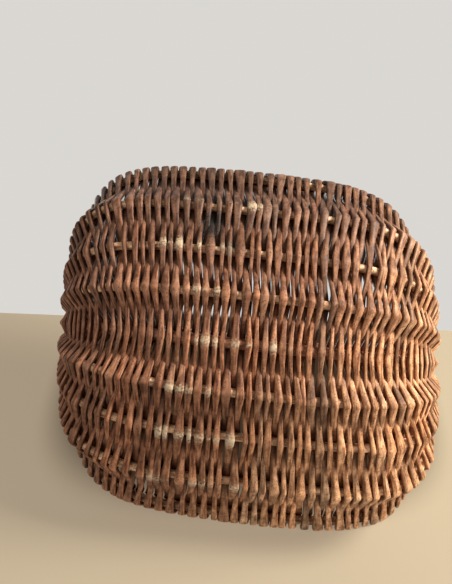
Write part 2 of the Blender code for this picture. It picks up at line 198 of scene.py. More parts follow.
# What lies over them: scale, detail and stretch of its ragged edge, and for each cover its colour
# and the amounts between which it sets in.
RAGGED = (420.0, 3.0, (1.0, 1.0, 1.0))
COVERS = {"wear": (CREAM, (0.18, 0.34)), "stain": (SOOT, (0.14, 0.55))}
SPECULAR = 0.35
BUMP_STRENGTH = 0.5
BUMP_DEPTH = 0.0004
ROUGHNESS = {"woven_willow": 0.56, "handled_willow": 0.42, "dry_willow": 0.62,
             "ear_willow": 0.55}

# The rod wound crosswise over each ear.
LASHING_RADIUS = 0.0015
LASHING_OVAL = (1.1, 0.9)      # its width and thickness, over twice the radius
LASHING_SIDES = 8
LASHING_PITCH = 0.0060         # how much farther out along an arm each round lies
LASHING_START = 0.0065         # how far out the first one lies
LASHING_RINGS = 7
LASHING_STEPS = 13
LASHING_ARC = (-45.0, 405.0)   # degrees at which its way round an arm starts and ends

# The camera, from the photograph: turns in radians, and the keel's middle as the camera sees it.
CAMERA_TURN = (-0.0805, -0.0201, -0.0380)
KEEL_FROM_CAMERA = (0.02464, -0.05577, -0.462)
FOCAL_PIXELS = 440.0
IMAGE_HEIGHT = 584.0
SENSOR = 36.0

# The stage.
FLOOR_COLOUR = (0.28, 0.235, 0.155)
FLOOR_GLOW = (0.31, 0.245, 0.175)  # what the camera sees of it without any lamp
FLOOR_HEIGHT = -0.0018
WALL_COLOUR = (0.70, 0.68, 0.65)
STAGE_SIZE = 3.0
REST_LINE = (0.2365, 0.119)    # where the side of the rim rests on the side floor, as Y and Z
FAR_LINE = (-0.029, 0.42)      # where that floor ends, level with the photograph's skirting line
# Painted shade under the tipped basket: on its floor as X and distance from the far line, and on
# the wall above as directions straight up from below. Each holds a middle, half sizes and the two
# edges, as squares of a share of the half sizes. The opening is where the wall shows white through
# the weave.
FLOOR_SHADE = ((0.0, 0.0), (0.325, 0.385), (0.60, 1.08))
FLOOR_SHADE_COLOUR = (0.052, 0.035, 0.021)
WALL_SHADE = ((0.018, -0.018), (0.392, 0.330), (0.68, 1.0))
WALL_SHADE_LEVEL = 0.02
WALL_OPENING = ((0.10, -0.088), (0.28, 0.066), (0.6, 1.2))
UPWARD = (0.3, 0.5)            # heights of a direction between which the wall's shade sets in

# Lamps: place, size, power in watts and colour. The key light comes from the photograph's upper
# right.
LAMPS = {"key": ((0.90, -0.74, -0.46), 0.38, 26.0, (1.0, 0.96, 0.90)),
         "fill": ((-0.7, 0.1, -1.0), 0.8, 3.1, (1.0, 0.97, 0.93)),
         "warm": ((0.9, 0.6, -0.4), 0.8, 6.2, (1.0, 0.90, 0.78)),
         "top": ((-0.4, -0.5, 1.3), 1.0, 10.0, (1.0, 1.0, 1.0))}
WORLD_STRENGTH = 0.21

rng = np.random.default_rng(7)


def unit(vectors):
    """Scale vectors to length 1."""
    return vectors / np.linalg.norm(vectors, axis=-1, keepdims=True)


def mix(first, second, share):
    """Blend two values, or two rows of values, by a share from 0 to 1."""
    return first + (second - first) * share


def ease(value):
    """Turn 0 to 1 into a smooth step."""
    value = np.clip(value, 0.0, 1.0)
    return value * value * (3.0 - 2.0 * value)


def signed_power(value, power):
    """Raise the size of a value to a power and keep its sign."""
    return np.sign(value) * np.abs(value) ** power


def smooth_noise(count, step, spread):
    """Return a gently varying random series."""
    knots = rng.normal(0.0, spread, int(count / step) + 3)
    return np.interp(np.arange(count) / step, np.arange(len(knots)), knots)


def full_arc(fullness):
    """Return reach (-1 to 1) and depth (0 to 1 to 0) along a half superellipse."""
    angle = np.linspace(-math.pi / 2, math.pi / 2, SMOOTH_SEGMENTS + 1)
    reach = signed_power(np.sin(angle), 2 / fullness)
    depth = np.maximum(np.cos(angle), 0.0) ** (2 / fullness)
    depth[0] = depth[-1] = 0.0
    return reach, depth


def arc_lengths(points):
    """Return the distance along a line at each of its points."""
    steps = np.linalg.norm(np.diff(points, axis=0), axis=1)
    return np.concatenate([[0.0], np.cumsum(steps)])


def point_at(points, distance):
    """Return the point at a distance along a line."""
    lengths = arc_lengths(points)
    return np.stack([np.interp(distance, lengths, points[:, axis]) for axis in range(3)], axis=-1)


def bar_line(index):
    """Return the centre line of a bar from the left ear to the right one.

    Heights are from the keel's middle.
    """
    share = abs(index) / RIM_INDEX
    fullness = mix(KEEL_FULLNESS, RIM_FULLNESS, share)
    half_length = mix(HALF_LENGTH, RIM_HALF_LENGTH, share)
    reach, depth = full_arc(fullness)
    spread = ((0.0,) + RIB_SPREADS + (HALF_WIDTH,))[abs(index)]
    rise = ((0.0,) + RIB_RISES + (SIDE_RISE,))[abs(index)]
    x = half_length * reach
    y = math.copysign(spread, index) * depth + SKEW * x
    if abs(index) == RIM_INDEX:
        z = SIDE_RISE + (EAR_RISE - SIDE_RISE) * reach ** 2
    else:
        z = EAR_RISE - (EAR_RISE - rise) * depth
    return np.stack([x, y, z], axis=1)


def handle_line():
    """Return the upper half of the handle hoop, from the left ear to the right."""
    reach, depth = full_arc(HANDLE_FULLNESS)
    x = HALF_LENGTH * reach
    return np.stack([x, SKEW * x, EAR_RISE + HANDLE_RISE * depth], axis=1)


def bar_radius(index, from_ear):
    """Return the radius of a bar at a distance from its nearer ear."""
    if index == 0:
        return np.full_like(from_ear, HOOP_RADIUS)
    if abs(index) == RIM_INDEX:
        return np.full_like(from_ear, RIM_RADIUS)
    share = np.clip((from_ear - RIB_TIP_INSET) / RIB_TAPER, 0.0, 1.0)
    return mix(RIB_TIP_RADIUS, RIB_RADIUS, share)


def weave_stations():
    """Return each pass's place between the ears, from -1 at the left one to 1."""
    half_weave = arc_lengths(bar_line(0))[-1] / 2 - EAR_MARGIN
    place = np.linspace(-1, 1, COUNT_SAMPLES)
    share = np.clip((1 - np.abs(place)) * half_weave / FINE_REACH, 0, 1)
    spacing = EAR_FINENESS + (1 - EAR_FINENESS) * share
    counts = np.concatenate([[0.0], np.cumsum(np.diff(place) * 2 / (spacing[1:] + spacing[:-1]))])
    wanted = np.linspace(0, counts[-1], PASSES)
    return np.interp(wanted, counts, place)


def uneven_places():
    """Return how wide each pass is on each bar, and how far that shifts it, both in passes."""
    shape = (PASSES, len(BAR_INDICES))
    by_bar = rng.normal(0.0, UNEVEN_BY_BAR, shape)
    by_bar[:, RIM_COLUMNS] *= RIM_UNEVEN
    widths = np.exp(rng.normal(0.0, UNEVEN, (PASSES, 1)) + by_bar)
    widths[:, RIM_COLUMNS] = mix(1.0, widths[:, RIM_COLUMNS], RIM_UNEVEN)
    shifts = np.cumsum(widths - 1.0, axis=0) - (widths - 1.0) / 2
    window = np.ones(DRIFT_PASSES) / DRIFT_PASSES
    freedom = 1.0 - np.linspace(-1.0, 1.0, PASSES) ** WANDER_POWER
    half = DRIFT_PASSES // 2
    for column in range(shape[1]):
        padded = np.pad(shifts[:, column], half, mode="reflect")
        shifts[:, column] -= np.convolve(padded, window, mode="valid")
        shifts[:, column] += freedom * smooth_noise(PASSES, *WANDER)
    return widths, shifts


def control(point, normal, along, spacing, depth, facing, bar=None, side=0):
    """Return a control point of the woven line.

    The bar is None between two bars, and the side is 1 outside a bar and -1 inside it.
    """
    return {"point": point, "normal": normal, "along": along, "spacing": spacing, "depth": depth,
            "facing": facing, "bar": bar, "side": side,
            "joinable": side < 0 and abs(bar) < RIM_INDEX}


class Weave:
    """Places of every pass on every bar, with the directions and offsets that the rods need."""

    def __init__(self):
        shape = (PASSES, len(BAR_INDICES))
        numbers = np.arange(PASSES)
        stations = weave_stations()
        widths, shifts = uneven_places()
        self.points = np.zeros((*shape, 3))
        self.bar_radii = np.zeros(shape)
        strayed = np.zeros((*shape, 3))
        for column, index in enumerate(BAR_INDICES):
            line = bar_line(index)
            half = arc_lengths(line)[-1] / 2
            from_middle = stations * (half - EAR_MARGIN)
            if abs(index) == RIM_INDEX:
                from_middle -= RIM_SETBACK * stations ** SETBACK_POWER
            self.points[:, column] = point_at(line, half + from_middle)
            shifted = np.interp(numbers + shifts[:, column], numbers, from_middle)
            strayed[:, column] = point_at(line, half + shifted)
            self.bar_radii[:, column] = bar_radius(index, half - np.abs(from_middle))
        self.find_directions()
        self.sides = np.where((numbers[:, None] + np.array(BAR_INDICES)) % 2 == 0, 1, -1)
        self.rod_radii = np.zeros(shape)
        self.offsets = self.find_offsets()
        for _ in range(FITTING_ROUNDS):
            self.rod_radii = self.find_rod_radii()
            self.offsets = self.find_offsets()
        self.lift = np.array([0.0, 0.0, self.keel_height()])
        self.roughen(strayed, widths)

    def find_directions(self):
        """Find the spacing of the passes, and the directions along, across and off each bar."""
        along = np.gradient(self.points, axis=0)
        across = unit(np.gradient(self.points, axis=1))
        self.spacing = np.linalg.norm(np.cross(along, across), axis=2)
        self.along = unit(along)
        outward = unit(np.cross(across, along))
        heart = np.array([0, 0, EAR_RISE])
        inward = np.einsum("pbi,pbi->pb", outward, heart - self.points) > 0
        outward[inward] *= -1
        for _ in range(EVENING_ROUNDS):
            outward[:, 1:-1] += (outward[:, 2:] + outward[:, :-2]) / 2
            outward = unit(outward)
        self.outward = outward
        self.across = unit(np.cross(along, outward))
        flipped = np.einsum("pbi,pbi->pb", self.across, across) < 0
        self.across[flipped] *= -1

    def roughen(self, strayed, widths):
        """Move the model's even passes to their strayed places, and vary their widths."""
        share = np.where(self.sides > 0, 1.0, INNER_UNEVEN)
        self.points = mix(self.points, strayed, share[:, :, None]) + self.lift
        widths = np.clip(widths, *UNEVEN_LIMITS)
        self.depth = THICKNESS * self.spacing * mix(1.0, widths, DEPTH_UNEVEN)
        self.spacing *= mix(1.0, widths, share)
        self.offsets += self.depth - self.rod_radii - PRESSED

    def keel_height(self):
        """Return the height of the keel's middle over the floor, on the worn rods below it."""
        middle = self.rod_radii[PASSES // 2, RIM_INDEX]
        return HOOP_RADIUS + SEAT + 2 * middle - WORN_DEPTH

    def crossings(self):
        """Return the middle of every pass at every bar, outside the bar or inside it."""
        return self.points + (self.sides * self.offsets)[:, :, None] * self.outward

    def find_rod_radii(self):
        """Return each rod's radius at each bar, as in the model."""
        lines = self.crossings()
        spans = np.diff(lines, axis=1)
        apart = unit(np.cross(spans[1:], spans[:-1]))
        steps = np.diff(lines, axis=0)[:, :-1]
        width = np.abs(np.einsum("pbi,pbi->pb", steps, apart))
        width = np.minimum(np.vstack([width, width[-1:]]), np.vstack([width[:1], width]))
        at_bars = np.minimum(np.hstack([width, width[:, -1:]]), np.hstack([width[:, :1], width]))
        return (at_bars - ROD_GAP) / 2

    def find_offsets(self):
        """Return how far each rod's line must stand off each bar's line to clear it."""
        spans = np.linalg.norm(np.diff(self.points, axis=1), axis=2)
        reach = self.bar_radii + self.rod_radii + SEAT
        offsets = reach.copy()
        for _ in range(OFFSET_ROUNDS):
            slope = (offsets[:, 1:] + offsets[:, :-1]) / spans
            stretch = np.sqrt(1 + slope ** 2)
            steepest = np.ones_like(offsets)
            steepest[:, 1:] = np.maximum(steepest[:, 1:], stretch)
            steepest[:, :-1] = np.maximum(steepest[:, :-1], stretch)
            offsets = reach * steepest
        offsets[:, RIM_COLUMNS] = reach[:, RIM_COLUMNS]
        return offsets

    def controls(self):
        """Return the whole woven line as control points, a bar at a time."""
        line = []
        crossings = self.crossings()
        last = PASSES - 1
        for number in range(PASSES):
            order = list(BAR_INDICES) if number % 2 == 0 else list(reversed(BAR_INDICES))
            facing = self.sides[number, 0]
            if number == 0:
                order = order[1:]
            if number == last and self.sides[number, order[-1] + RIM_INDEX] > 0:
                order = order[:-1]
            for index in order:
                at = (number, index + RIM_INDEX)
                line.append(control(crossings[at], facing * self.outward[at], self.along[at],
                                    self.spacing[at], self.depth[at], facing, index,
                                    self.sides[at]))
            if number < last:
                line.extend(self.turn(number, order[-1], facing))
        return line

    def turn(self, number, index, facing):
        """Return the control points of the half turn round the rim to the next pass."""
        column = index + RIM_INDEX
        rimward = math.copysign(1, index)
        made = []
        for step in range(1, TURN_STEPS):
            share = step / TURN_STEPS
            angle = math.pi * share
            middle, offset, outward, across, along, spacing, depth = [
                mix(field[number, column], field[number + 1, column], share)
                for field in (self.points, self.offsets, self.outward, self.across, self.along,
                              self.spacing, self.depth)]
            swing = facing * math.cos(angle) * outward + rimward * math.sin(angle) * across
            made.append(control(middle + offset * swing, swing, along, spacing, depth, facing))
        return made


def cut_into_rods(line):
    """Divide the woven line into rods that take over from each other inside a bar."""
    joinable = [place for place, item in enumerate(line) if item["joinable"]]
    joins = []
    for number in range(1, WOVEN_RODS):
        target = number * len(line) / WOVEN_RODS
        joins.append(min(joinable, key=lambda place: abs(place - target)))
    bounds = [0] + joins + [len(line) - 1]
    return [line[first:last + 1] for first, last in zip(bounds[:-1], bounds[1:])]


def add_tails(rod):
    """Run a rod's two ends on past their bars, inside the basket, beside the next rod."""
    made = list(rod)
    for end, neighbour, sideways in ((0, 1, 1.0), (-1, -2, -1.0)):
        tip = rod[end]
        shift = sideways * tip["along"] * tip["spacing"] * TAIL_SHIFT
        direction = unit(tip["point"] - rod[neighbour]["point"])
        made[end] = {**tip, "point": tip["point"] + shift}
        lift = TAIL_LIFT * TAIL * (-1.0 if tip["side"] > 0 else 1.0)
        outer = tip["facing"] * tip["normal"]
        level = unit(direction - outer * np.dot(direction, outer))
        beyond = {**tip, "point": tip["point"] + shift + level * TAIL - outer * lift,
                  "bar": None, "side": 0}
        made.insert(0 if end == 0 else len(made), beyond)
    return made


def rounded(points):
    """Return points along a line whose corners are rounded, each with its place in the list."""
    points = np.array(points)
    spans = np.linalg.norm(np.diff(points, axis=0), axis=1)
    reach = np.minimum(CORNER, spans / 2)
    before = np.concatenate([[0.0], reach])
    after = np.concatenate([reach, [0.0]])
    pushed = points.copy()
    for _ in range(CORNER_ROUNDS):
        step = np.diff(pushed, axis=0) / spans[:, None]
        pull = np.zeros_like(points)
        pull[1:-1] = (step[1:] * after[1:-1, None] - step[:-1] * before[1:-1, None]) / 4
        pushed = points - pull
    step = unit(np.diff(pushed, axis=0))
    spans = np.linalg.norm(np.diff(pushed, axis=0), axis=1)
    made = [pushed[0]]
    places = [0.0]
    last_point = pushed[0]
    last_place = 0.0
    for number in range(1, len(points) - 1):
        corner = pushed[number]
        start = corner - step[number - 1] * before[number]
        end = corner + step[number] * after[number]
        into = before[number] / spans[number - 1]
        onward = after[number] / spans[number]
        gap = spans[number - 1] - before[number] - (after[number - 1] if number > 1 else 0.0)
        if gap > CORNER:
            for share in STRAIGHT_SHARES:
                made.append(mix(last_point, start, share))
                places.append(mix(last_place, number - into, share))
        for share in CORNER_SHARES if spans[number - 1] > CORNER else TIGHT_SHARES:
            made.append((1 - share) ** 2 * start + 2 * share * (1 - share) * corner
                        + share ** 2 * end)
            places.append(number + (share * 2 - 1) * (into if share < 0.5 else onward))
        last_point = end
        last_place = number + onward
    made.append(pushed[-1])
    places.append(len(points) - 1.0)
    return np.array(made), np.array(places)


def add_field(data, name, values):
    """Store a number, a vector or a colour for every vertex of a mesh."""
    kind, key = {1: ("FLOAT", "value"), 3: ("FLOAT_VECTOR", "vector"),
                 4: ("FLOAT_COLOR", "color")}[values.shape[-1]]
    field = data.attributes.new(name, kind, "POINT")
    field.data.foreach_set(key, np.ascontiguousarray(values, dtype=np.float32).ravel())


def ring_faces(rings, sides, closed):
    """Return the faces of a swept rod, with a cap on each end of an open one."""
    first = np.arange(rings if closed else rings - 1)
    second = (first + 1) % rings
    side = np.arange(sides)
    other = (side + 1) % sides
    faces = np.stack([first[:, None] * sides + side, first[:, None] * sides + other,
                      second[:, None] * sides + other, second[:, None] * sides + side], axis=-1)
    faces = faces.reshape(-1, 4).tolist()
    if not closed:
        faces.append(list(reversed(range(sides))))
        faces.append(list(range((rings - 1) * sides, rings * sides)))
    return faces


def sweep(name, centres, normals, widths, heights, tint, sides=ROD_SIDES, closed=False,
          bluntness=1.0, **shares):
    """Return a mesh object: an oval rod along centres, whose width lies across the normals.

    A bluntness over 1 flattens the rod's top and sides. The tint holds a colour for every centre,
    or for every centre and side. Each share holds a number for every centre and becomes a vertex
    attribute.
    """
    rings = len(centres)
    if closed:
        tangents = unit(np.roll(centres, -1, axis=0) - np.roll(centres, 1, axis=0))
    else:
        tangents = unit(np.gradient(centres, axis=0))
    across = unit(np.cross(tangents, normals))
    up = np.cross(across, tangents)
    angle = 2 * math.pi * np.arange(sides) / sides
    wide = signed_power(np.cos(angle), 1 / bluntness) * widths[:, None]
    high = signed_power(np.sin(angle), 1 / bluntness) * heights[:, None]
    corners = (centres[:, None] + across[:, None] * wide[:, :, None]
               + up[:, None] * high[:, :, None])
    data = bpy.data.meshes.new(name)
    data.from_pydata(corners.reshape(-1, 3).tolist(), [], ring_faces(rings, sides, closed))
    data.shade_smooth()
    grain = np.zeros((rings, sides, 3))
    grain[..., 0] = arc_lengths(centres)[:, None]
    grain[..., 1] = np.cos(angle) * GRAIN_RADIUS
    grain[..., 2] = np.sin(angle) * GRAIN_RADIUS
    add_field(data, "grain", grain)
    colour = np.ones((rings, sides, 4))
    colour[..., :3] = tint if tint.ndim == 3 else tint[:, None]
    add_field(data, "tint", colour)
    for key, share in shares.items():
        add_field(data, key, np.broadcast_to(share[:, None, None], (rings, sides, 1)))
    piece = bpy.data.objects.new(name, data)
    bpy.context.scene.collection.objects.link(piece)
    return piece


def place_colour(points):
    """Return the willow's colour by place: dull brown at the left, chestnut, then tan, partly
    weathered willow and partly painted light at the right and the back.
    """
    share = (points[:, 0] / HALF_LENGTH + 1) / 2 + WEATHERED_AND_LIT_BACK * points[:, 1] / HALF_WIDTH
    first = ease(share / CHESTNUT_END)[:, None]
    second = ease((share - TAN_START) / TAN_LENGTH)[:, None]
    colour = mix(np.array(BROWN), np.array(CHESTNUT), first)
    # The colour darkens toward the front.
    darkened = 1.0 - np.array(FRONT_DARKENING) * ease(-points[:, 1] / HALF_WIDTH)[:, None]
    return mix(colour, np.array(TAN), second) * darkened


def wear_at(item):
    """Return how far the bark is rubbed off a rod at a control point, from 0 to 1."""
    if item["bar"] is None or item["side"] < 0:
        return 0.0
    low, high, strength = WORN_PLACES[item["bar"]]
    x = item["point"][0]
    fade = min((x - low) / WEAR_FADE, (high - x) / WEAR_FADE)
    return strength * float(ease(fade)) * rng.uniform(*WEAR_SPREAD)


def stain_at(points):
    """Return how dark the soot lies on a rod, from 0 to 1."""
    dark = np.zeros(len(points))
    for x, y, size, strength in STAINS:
        away = np.hypot(points[:, 0] - x, points[:, 1] - y) / size
        dark = np.maximum(dark, strength * np.exp(-away ** 2) * (points[:, 2] < EAR_RISE / 2))
    return dark


def midway_share(rod, place):
    """Return how near midway between two bars each place on a rod is, from 0 to 1."""
    crossing = np.array([item["bar"] is not None for item in rod], dtype=float)
    whole = np.clip(np.floor(place).astype(int), 0, len(rod) - 2)
    between = crossing[whole] * crossing[whole + 1]
    return between * (0.5 - 0.5 * np.cos(2 * math.pi * (place - whole)))


def rod_fill(centres, side, rimward, midway):
    """Return half the width of a middling rod, over the spacing of the passes."""
    inner = mix(*INNER_FILL, ease(np.abs(centres[:, 0]) / INNER_REACH))
    at_bar = mix(np.where(side < 0, inner, OUTER_FILL), RIM_FILL, rimward)
    sparse = np.exp(-((centres[:, 1] - SPARSE_PLACE) / SPARSE_REACH) ** 2)
    narrow = np.where(side < 0, midway ** INNER_NARROWING, midway ** OUTER_NARROWING)
    return mix(at_bar, mix(MIDWAY_FILL, SPARSE_FILL, sparse), narrow)


def rod_growth(place):
    """Return a rod's own thickness along it, over a middling one: tapered from butt to tip."""
    ends = TAPERS[0] if rng.random() < 0.5 else TAPERS[1]
    taper = mix(*ends, place / place[-1])
    return taper * (1.0 + rng.normal(0.0, BURL_BY_ROD) + smooth_noise(len(place), *BURL))


def rod_tint(centres, side, facing):
    """Return a rod's colour at every centre and side: uneven, with painted shade where it is
    buried.
    """
    count = len(centres)
    shade = 1.0 + rng.normal(0.0, SHADE_BY_ROD) + smooth_noise(count, *SHADE)
    tint = place_colour(centres) * np.clip(shade, *SHADE_LIMITS)[:, None]
    redness = rng.normal(0.0, REDNESS_BY_ROD) + smooth_noise(count, *REDNESS)
    tint *= np.stack([1.0 + redness, np.ones_like(redness), 1.0 - redness], axis=1)
    # Painted shade: faces hidden by neighbouring rods and bars are darkened, as occlusion would
    # darken them.
    turned = facing[:, None] * np.sin(2 * math.pi * np.arange(ROD_SIDES) / ROD_SIDES)
    open_air = RISE_FROM_WEAVE * side[:, None] + UNSHADED_REACH * np.sign(turned)
    exposed = np.clip(open_air, -1.0, 1.0) * turned
    buried_shade = 1.0 - ease((exposed - BURIED_SHADE_RANGE[0]) / (BURIED_SHADE_RANGE[1] - BURIED_SHADE_RANGE[0]))
    return tint[:, None] * (1.0 - np.array(BURIED_SHADE_DEPTH) * buried_shade[:, :, None])


def woven_rod(name, rod):
    """Build one woven rod."""
    rod = add_tails(rod)
    centres, place = rounded([item["point"] for item in rod])
    steps = np.arange(len(rod))

    def along(values):
        return np.interp(place, steps, values)

    normals = np.transpose([item["normal"] for item in rod])
    normals = unit(np.stack([along(values) for values in normals], axis=1))
    side = along([item["side"] for item in rod])
    rimward = along([item["bar"] is None or abs(item["bar"]) == RIM_INDEX for item in rod])
    widths = along([item["spacing"] for item in rod])
    widths = widths * rod_fill(centres, side, rimward, midway_share(rod, place))
    widths *= rod_growth(place)
    heights = along([item["depth"] for item in rod]) * mix(1.0, RIM_FLATNESS, rimward)
    heights *= 1.0 + smooth_noise(len(place), *HEIGHT_BURL)
    for end in (0, -1):
        widths[end] *= TIP_WIDTH
        heights[end] *= TIP_HEIGHT
    tint = rod_tint(centres, side, along([item["facing"] for item in rod]))
    crest = 1.0 - np.clip(np.abs(place - np.round(place)) / WORN_LENGTH, 0, 1)
    rubbed = np.array([wear_at(item) for item in rod])[np.round(place).astype(int)]
    return sweep(name, centres, normals, widths, heights, tint, bluntness=BLUNTNESS,
                 wear=rubbed * crest, stain=stain_at(centres))


def opaque(colour):
    """Return a colour with full opacity, as sockets take it."""
    return (*colour, 1.0)


class Graph:
    """The nodes of a material or of the world, built from sockets and values."""

    def __init__(self, owner):
        owner.use_nodes = True
        self.nodes = owner.node_tree.nodes
        self.links = owner.node_tree.links

    def feed(self, socket, value):
        """Link a socket to another one, or set it to a value."""
        if isinstance(value, bpy.types.NodeSocket):
            self.links.new(value, socket)
        else:
            socket.default_value = value

    def add(self, kind, inputs=None, **settings):
        """Return a new node with its settings, and its inputs fed by name or number."""
        node = self.nodes.new(kind)
        for key, value in settings.items():
            setattr(node, key, value)
        for key, value in (inputs or {}).items():
            self.feed(node.inputs[key], value)
        return node

    def attribute(self, name, output="Fac"):
        """Return a vertex attribute of the mesh."""
        return self.add("ShaderNodeAttribute", attribute_name=name).outputs[output]

    def noise(self, source, scale, detail, stretch):
        """Return a noise pattern."""
        mapping = self.add("ShaderNodeMapping", {"Vector": source, "Scale": stretch})
        inputs = {"Vector": mapping.outputs["Vector"], "Scale": scale, "Detail": detail}
        return self.add("ShaderNodeTexNoise", inputs).outputs["Fac"]

    def ramp(self, source, stops):
        """Return a willow brightness between two stops, redder where it is dark."""
        made = self.add("ShaderNodeValToRGB", {"Fac": source})
        for element, (position, level) in zip(made.color_ramp.elements, stops):
            element.position = position
            element.color = opaque([level ** power for power in FADING])
        return made.outputs["Color"]

    def mix_colours(self, share, first, second, blend_type="MIX"):
        """Return two colours blended or multiplied."""
        inputs = {"Factor": share, "A": first, "B": second}
        return self.add("ShaderNodeMix", inputs, data_type="RGBA",
                        blend_type=blend_type).outputs["Result"]

    def mix_shaders(self, share, first, second):
        """Return two shaders blended."""
        inputs = {"Fac": share, 1: first, 2: second}
        return self.add("ShaderNodeMixShader", inputs).outputs["Shader"]

    def glow(self, colour):
        """Return a shader that shines in one colour."""
        return self.add("ShaderNodeEmission", {"Color": opaque(colour)}).outputs["Emission"]

    def calculate(self, operation, first, second, **settings):
        """Return the result of one sum."""
        return self.add("ShaderNodeMath", {0: first, 1: second}, operation=operation,
                        **settings).outputs["Value"]

    def step(self, source, edges, levels=(0.0, 1.0), curve="SMOOTHSTEP"):
        """Return a value that goes from one level to another between two edges."""
        inputs = {"Value": source, "From Min": edges[0], "From Max": edges[1],
                  "To Min": levels[0], "To Max": levels[1]}
        return self.add("ShaderNodeMapRange", inputs, interpolation_type=curve).outputs["Result"]

    def oval(self, source, middle, half, edges):
        """Return a value that goes from 0 within a full-cornered oval to 1 outside it."""
        inputs = {"Vector": source, "Location": (*middle, 0.0), "Scale": (*half, 1.0)}
        share = self.add("ShaderNodeMapping", inputs, vector_type="TEXTURE").outputs["Vector"]
        squared = self.add("ShaderNodeVectorMath", {0: share, 1: share}, operation="MULTIPLY")
        length = self.add("ShaderNodeVectorMath", {0: squared.outputs["Vector"]},
                          operation="LENGTH")
        return self.step(length.outputs["Value"], edges)

    def seen_directly(self):
        """Return 1 for what the camera, a reflection or clear glass shows."""
        path = self.add("ShaderNodeLightPath")
        seen = path.outputs["Is Camera Ray"]
        for kind in ("Is Glossy Ray", "Is Transmission Ray"):
            seen = self.calculate("MAXIMUM", seen, path.outputs[kind])
        return seen


def willow(name):
    """Return the material of a willow rod, which reads its tint and grain from the mesh."""
    material = bpy.data.materials.new(name)
    graph = Graph(material)
    spaces = {"grain": graph.attribute("grain", "Vector"),
              "place": graph.add("ShaderNodeTexCoord").outputs["Object"]}
    noises = {}
    colour = graph.attribute("tint", "Color")
    for pattern, (space, texture, stops) in PATTERNS.items():
        noises[pattern] = graph.noise(spaces[space], *texture)
        colour = graph.mix_colours(1.0, colour, graph.ramp(noises[pattern], stops), "MULTIPLY")
    ragged = graph.noise(spaces["place"], *RAGGED)
    for key, (over, edges) in COVERS.items():
        amount = graph.calculate("MULTIPLY", ragged, graph.attribute(key))
        share = graph.step(amount, edges, curve="LINEAR")
        colour = graph.mix_colours(share, colour, opaque(over))
    bump = graph.add("ShaderNodeBump", {"Strength": BUMP_STRENGTH, "Distance": BUMP_DEPTH,
                                        "Height": noises["streaks"]})
    shader = graph.nodes["Principled BSDF"]
    for key, value in {"Roughness": ROUGHNESS[name], "Specular IOR Level": SPECULAR,
                       "Base Color": colour, "Normal": bump.outputs["Normal"]}.items():
        graph.feed(shader.inputs[key], value)
    return material


def finish_piece(piece, material, slot, *nodes):
    """Give a piece its material and its body, and hide the model's nodes that it stands for."""
    piece.data.materials.append(material)
    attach(piece, "root")
    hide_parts(*nodes)


def weaver_slot(number):
    """Return the record's slot of a woven rod."""
    for node in frame["record"]["subparts"]:
        if node["node"] == f"weaver_{number:02d}":
            return node["material_slot"]
    raise ValueError(number)


def woven_rods(weave):
    """Build every woven rod."""
    material = willow("woven_willow")
    for number, rod in enumerate(cut_into_rods(weave.controls()), start=1):
        piece = woven_rod(f"woven_rod_{number:02d}", rod)
        finish_piece(piece, material, weaver_slot(number), f"weaver_{number:02d}")


def round_bar(name, line, radii, colours, closed=False):
    """Build a hoop or a rib as a slightly uneven round rod.

    It has one radius and one colour, or one of each for every point of its line.
    """
    lengths = arc_lengths(line)
    count = int(lengths[-1] / BAR_STEP)
    distance = np.linspace(0.0, lengths[-1], count, endpoint=not closed)
    radii = np.interp(distance, lengths, np.broadcast_to(radii, len(line)))
    radii = radii * (1.0 + smooth_noise(count, *BAR_BURL))
    shade = np.clip(1.0 + smooth_noise(count, *BAR_SHADE), *BAR_SHADE_LIMITS)
    colours = np.broadcast_to(colours, (len(line), 3))
    tint = np.stack([np.interp(distance, lengths, channel) for channel in colours.T], axis=1)
    upright = np.tile([0.0, 0.0, 1.0], (count, 1))
    return sweep(name, point_at(line, distance), upright, radii, radii, tint * shade[:, None],
                 sides=BAR_SIDES, closed=closed)


def closed_loop(first, second):
    """Return one closed line from two lines that both run from the left ear to the right."""
    loop = np.concatenate([first, second[::-1][1:-1]])
    return np.concatenate([loop, loop[:1]])


def bars(lift):
    """Build both hoops and the six ribs."""
    smooth = willow("handled_willow")
    dry = willow("dry_willow")
    loop = closed_loop(bar_line(0), handle_line())
    low = loop[:, 2] < EAR_RISE - EAR_RADIUS / 2
    radii = HOOP_RADIUS * np.where(low, KEEL_SWELL, 1.0)
    colours = np.where(low[:, None], KEEL_RED, HANDLE_RED)
    hoop = round_bar("handle_and_keel", loop + lift, radii, colours, closed=True)
    finish_piece(hoop, smooth, "handle_willow", "handle_hoop")
    loop = closed_loop(bar_line(-RIM_INDEX), bar_line(RIM_INDEX))
    rim = round_bar("rim", loop + lift, RIM_RADIUS, RIB_TAN, closed=True)
    finish_piece(rim, dry, "rim_willow", "rim_hoop")
    for index in BAR_INDICES[1:-1]:
        if index == 0:
            continue
        line = bar_line(index)
        length = arc_lengths(line)[-1]
        distance = np.linspace(RIB_TIP_INSET, length - RIB_TIP_INSET, SMOOTH_SEGMENTS)
        from_ear = np.minimum(distance, length - distance)
        side = "front" if index < 0 else "back"
        rib = round_bar(f"{side}_rib_{abs(index)}", point_at(line, distance) + lift,
                        bar_radius(index, from_ear) * RIB_SWELL, RIB_TAN)
        finish_piece(rib, dry, "rib_willow", f"rib_{side}_{abs(index)}")


def wrap(arm, after, radius, start, outward):
    """Return the points of one turn of a lashing round an arm, and their outward directions."""
    heading = unit(point_at(arm, start + LASHING_PITCH) - point_at(arm, start))
    onward = point_at(after, start + LASHING_PITCH) - point_at(arm, start)
    onward -= heading * np.dot(onward, heading)
    front = unit(outward - heading * np.dot(outward, heading))
    onward = unit(onward - front * np.dot(onward, front))
    made = []
    for share in np.linspace(0, 1, LASHING_STEPS):
        angle = math.radians(mix(*LASHING_ARC, share))
        out = math.cos(angle) * front + math.sin(angle) * onward
        middle = point_at(arm, start + 2 * LASHING_RADIUS * share)
        made.append((middle + (radius + LASHING_RADIUS) * out, out))
    return made


